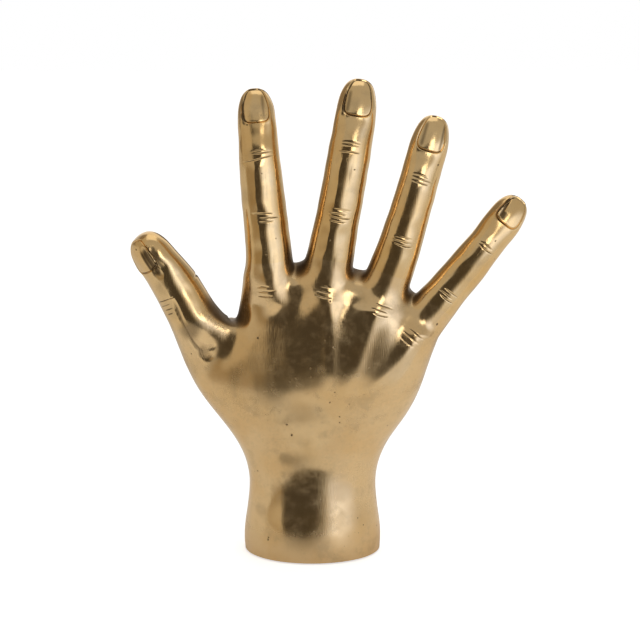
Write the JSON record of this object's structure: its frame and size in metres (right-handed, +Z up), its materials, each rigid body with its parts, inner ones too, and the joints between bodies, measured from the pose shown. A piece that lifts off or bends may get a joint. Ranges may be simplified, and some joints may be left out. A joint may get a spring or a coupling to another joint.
{
  "type": "hand sculpture",
  "caption": "Life-size right hand in polished cast brass, fingers spread, standing upright on a flat oval foot at the wrist. A desk or shelf ornament with engraved nails and knuckle creases.",
  "frame": {"origin": "centre of the oval foot, on the table", "axes": "+Z up along the hand, +X to the little finger's side as seen from the back of the hand, +Y out of the palm"},
  "size_m": [0.1958, 0.0598, 0.2407],
  "materials": {
    "palm_brass": "polished cast brass with casting pits and fine scratches",
    "digit_brass": "polished cast brass with engraved nails and creases",
    "plate_brass": "turned brass sheet",
    "screw_brass": "machined brass",
    "felt": "dark green felt"
  },
  "bodies": {
    "root": {"palm_casting": "palm_brass", "thumb_casting": "digit_brass", "index_finger_casting": "digit_brass", "middle_finger_casting": "digit_brass", "ring_finger_casting": "digit_brass", "little_finger_casting": "digit_brass", "base_plate": "plate_brass", "base_screw_1": "screw_brass", "base_screw_2": "screw_brass", "base_screw_3": "screw_brass", "felt_pad": "felt"}
  },
  "joints": []
}
